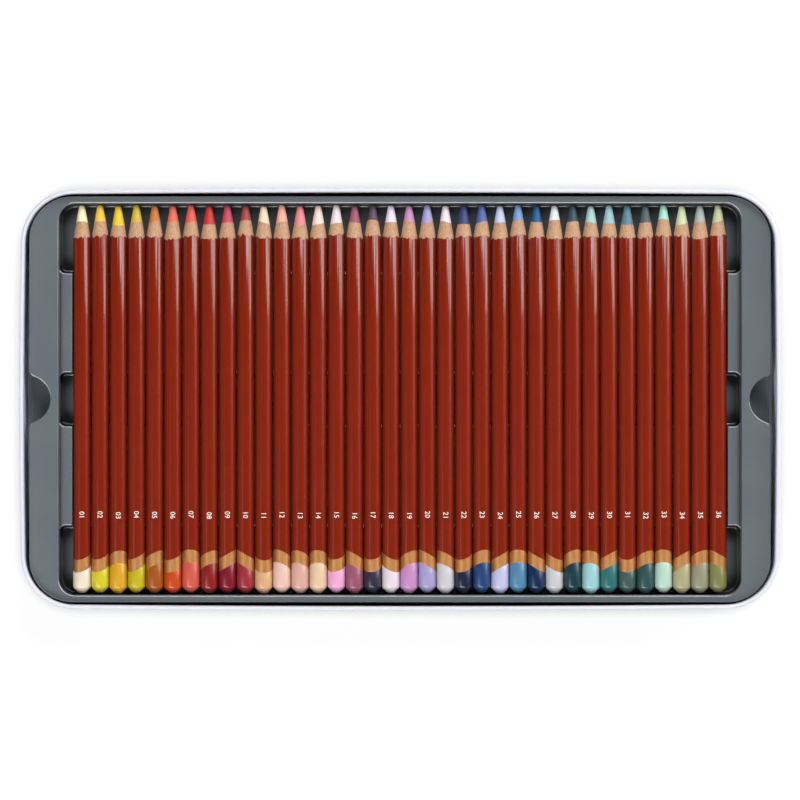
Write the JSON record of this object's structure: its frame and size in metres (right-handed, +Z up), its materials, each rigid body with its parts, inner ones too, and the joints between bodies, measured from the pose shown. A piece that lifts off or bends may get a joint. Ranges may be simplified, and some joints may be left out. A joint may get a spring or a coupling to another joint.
{
  "type": "colored pencil tin",
  "caption": "Open drawn-metal tin holding two stacked grey moulded trays, each with a row of round coloured pencils lying in cradles; finger notches lift the top tray.",
  "frame": {"origin": "middle of the underside, at table height", "axes": "+X along the row of pencils, +Y towards their points, +Z up out of the open tin"},
  "size_m": [0.3396, 0.1882, 0.03],
  "materials": {
    "tinplate": "white stoved enamel on tinplate",
    "tray_plastic": "satin thermoformed polystyrene",
    "lacquered_wood": "gloss lacquer on cedar"
  },
  "bodies": {
    "tin": {"tin_base": "tinplate"},
    "lower_layer": {"lower_tray": "tray_plastic", "lower_pencils": "lacquered_wood"},
    "upper_layer": {"upper_tray": "tray_plastic"},
    "pencil_01": {"pencil_01_cream": "lacquered_wood"},
    "pencil_02": {"pencil_02_lemon": "lacquered_wood"},
    "pencil_03": {"pencil_03_golden_yellow": "lacquered_wood"},
    "pencil_04": {"pencil_04_olive_yellow": "lacquered_wood"},
    "pencil_05": {"pencil_05_ochre": "lacquered_wood"},
    "pencil_06": {"pencil_06_orange": "lacquered_wood"},
    "pencil_07": {"pencil_07_coral": "lacquered_wood"},
    "pencil_08": {"pencil_08_dark_red": "lacquered_wood"},
    "pencil_09": {"pencil_09_crimson": "lacquered_wood"},
    "pencil_10": {"pencil_10_wine": "lacquered_wood"},
    "pencil_11": {"pencil_11_peach": "lacquered_wood"},
    "pencil_12": {"pencil_12_light_pink": "lacquered_wood"},
    "pencil_13": {"pencil_13_dusky_pink": "lacquered_wood"},
    "pencil_14": {"pencil_14_rose_brown": "lacquered_wood"},
    "pencil_15": {"pencil_15_rose": "lacquered_wood"},
    "pencil_16": {"pencil_16_plum": "lacquered_wood"},
    "pencil_17": {"pencil_17_dark_violet": "lacquered_wood"},
    "pencil_18": {"pencil_18_mauve": "lacquered_wood"},
    "pencil_19": {"pencil_19_orchid": "lacquered_wood"},
    "pencil_20": {"pencil_20_light_violet": "lacquered_wood"},
    "pencil_21": {"pencil_21_silver_grey": "lacquered_wood"},
    "pencil_22": {"pencil_22_dark_blue": "lacquered_wood"},
    "pencil_23": {"pencil_23_royal_blue": "lacquered_wood"},
    "pencil_24": {"pencil_24_periwinkle": "lacquered_wood"},
    "pencil_25": {"pencil_25_sky_blue": "lacquered_wood"},
    "pencil_26": {"pencil_26_navy": "lacquered_wood"},
    "pencil_27": {"pencil_27_white": "lacquered_wood"},
    "pencil_28": {"pencil_28_ink_blue": "lacquered_wood"},
    "pencil_29": {"pencil_29_aqua": "lacquered_wood"},
    "pencil_30": {"pencil_30_teal": "lacquered_wood"},
    "pencil_31": {"pencil_31_fir_green": "lacquered_wood"},
    "pencil_32": {"pencil_32_spruce": "lacquered_wood"},
    "pencil_33": {"pencil_33_mint": "lacquered_wood"},
    "pencil_34": {"pencil_34_sage": "lacquered_wood"},
    "pencil_35": {"pencil_35_grey_green": "lacquered_wood"},
    "pencil_36": {"pencil_36_olive_green": "lacquered_wood"}
  },
  "joints": [
    {"name": "lift_lower_tray", "type": "slide", "parent": "tin", "child": "lower_layer", "axis": [0, 0, 1], "range_m": [0, 0.04]},
    {"name": "lift_upper_tray", "type": "slide", "parent": "lower_layer", "child": "upper_layer", "axis": [0, 0, 1], "range_m": [0, 0.06]},
    {"name": "pencil_01_lift", "type": "slide", "parent": "upper_layer", "child": "pencil_01", "axis": [0, 0, 1], "range_m": [0, 0.03]},
    {"name": "pencil_02_lift", "type": "slide", "parent": "upper_layer", "child": "pencil_02", "axis": [0, 0, 1], "range_m": [0, 0.03]},
    {"name": "pencil_03_lift", "type": "slide", "parent": "upper_layer", "child": "pencil_03", "axis": [0, 0, 1], "range_m": [0, 0.03]},
    {"name": "pencil_04_lift", "type": "slide", "parent": "upper_layer", "child": "pencil_04", "axis": [0, 0, 1], "range_m": [0, 0.03]},
    {"name": "pencil_05_lift", "type": "slide", "parent": "upper_layer", "child": "pencil_05", "axis": [0, 0, 1], "range_m": [0, 0.03]},
    {"name": "pencil_06_lift", "type": "slide", "parent": "upper_layer", "child": "pencil_06", "axis": [0, 0, 1], "range_m": [0, 0.03]},
    {"name": "pencil_07_lift", "type": "slide", "parent": "upper_layer", "child": "pencil_07", "axis": [0, 0, 1], "range_m": [0, 0.03]},
    {"name": "pencil_08_lift", "type": "slide", "parent": "upper_layer", "child": "pencil_08", "axis": [0, 0, 1], "range_m": [0, 0.03]},
    {"name": "pencil_09_lift", "type": "slide", "parent": "upper_layer", "child": "pencil_09", "axis": [0, 0, 1], "range_m": [0, 0.03]},
    {"name": "pencil_10_lift", "type": "slide", "parent": "upper_layer", "child": "pencil_10", "axis": [0, 0, 1], "range_m": [0, 0.03]},
    {"name": "pencil_11_lift", "type": "slide", "parent": "upper_layer", "child": "pencil_11", "axis": [0, 0, 1], "range_m": [0, 0.03]},
    {"name": "pencil_12_lift", "type": "slide", "parent": "upper_layer", "child": "pencil_12", "axis": [0, 0, 1], "range_m": [0, 0.03]},
    {"name": "pencil_13_lift", "type": "slide", "parent": "upper_layer", "child": "pencil_13", "axis": [0, 0, 1], "range_m": [0, 0.03]},
    {"name": "pencil_14_lift", "type": "slide", "parent": "upper_layer", "child": "pencil_14", "axis": [0, 0, 1], "range_m": [0, 0.03]},
    {"name": "pencil_15_lift", "type": "slide", "parent": "upper_layer", "child": "pencil_15", "axis": [0, 0, 1], "range_m": [0, 0.03]},
    {"name": "pencil_16_lift", "type": "slide", "parent": "upper_layer", "child": "pencil_16", "axis": [0, 0, 1], "range_m": [0, 0.03]},
    {"name": "pencil_17_lift", "type": "slide", "parent": "upper_layer", "child": "pencil_17", "axis": [0, 0, 1], "range_m": [0, 0.03]},
    {"name": "pencil_18_lift", "type": "slide", "parent": "upper_layer", "child": "pencil_18", "axis": [0, 0, 1], "range_m": [0, 0.03]},
    {"name": "pencil_19_lift", "type": "slide", "parent": "upper_layer", "child": "pencil_19", "axis": [0, 0, 1], "range_m": [0, 0.03]},
    {"name": "pencil_20_lift", "type": "slide", "parent": "upper_layer", "child": "pencil_20", "axis": [0, 0, 1], "range_m": [0, 0.03]},
    {"name": "pencil_21_lift", "type": "slide", "parent": "upper_layer", "child": "pencil_21", "axis": [0, 0, 1], "range_m": [0, 0.03]},
    {"name": "pencil_22_lift", "type": "slide", "parent": "upper_layer", "child": "pencil_22", "axis": [0, 0, 1], "range_m": [0, 0.03]},
    {"name": "pencil_23_lift", "type": "slide", "parent": "upper_layer", "child": "pencil_23", "axis": [0, 0, 1], "range_m": [0, 0.03]},
    {"name": "pencil_24_lift", "type": "slide", "parent": "upper_layer", "child": "pencil_24", "axis": [0, 0, 1], "range_m": [0, 0.03]},
    {"name": "pencil_25_lift", "type": "slide", "parent": "upper_layer", "child": "pencil_25", "axis": [0, 0, 1], "range_m": [0, 0.03]},
    {"name": "pencil_26_lift", "type": "slide", "parent": "upper_layer", "child": "pencil_26", "axis": [0, 0, 1], "range_m": [0, 0.03]},
    {"name": "pencil_27_lift", "type": "slide", "parent": "upper_layer", "child": "pencil_27", "axis": [0, 0, 1], "range_m": [0, 0.03]},
    {"name": "pencil_28_lift", "type": "slide", "parent": "upper_layer", "child": "pencil_28", "axis": [0, 0, 1], "range_m": [0, 0.03]},
    {"name": "pencil_29_lift", "type": "slide", "parent": "upper_layer", "child": "pencil_29", "axis": [0, 0, 1], "range_m": [0, 0.03]},
    {"name": "pencil_30_lift", "type": "slide", "parent": "upper_layer", "child": "pencil_30", "axis": [0, 0, 1], "range_m": [0, 0.03]},
    {"name": "pencil_31_lift", "type": "slide", "parent": "upper_layer", "child": "pencil_31", "axis": [0, 0, 1], "range_m": [0, 0.03]},
    {"name": "pencil_32_lift", "type": "slide", "parent": "upper_layer", "child": "pencil_32", "axis": [0, 0, 1], "range_m": [0, 0.03]},
    {"name": "pencil_33_lift", "type": "slide", "parent": "upper_layer", "child": "pencil_33", "axis": [0, 0, 1], "range_m": [0, 0.03]},
    {"name": "pencil_34_lift", "type": "slide", "parent": "upper_layer", "child": "pencil_34", "axis": [0, 0, 1], "range_m": [0, 0.03]},
    {"name": "pencil_35_lift", "type": "slide", "parent": "upper_layer", "child": "pencil_35", "axis": [0, 0, 1], "range_m": [0, 0.03]},
    {"name": "pencil_36_lift", "type": "slide", "parent": "upper_layer", "child": "pencil_36", "axis": [0, 0, 1], "range_m": [0, 0.03]}
  ]
}
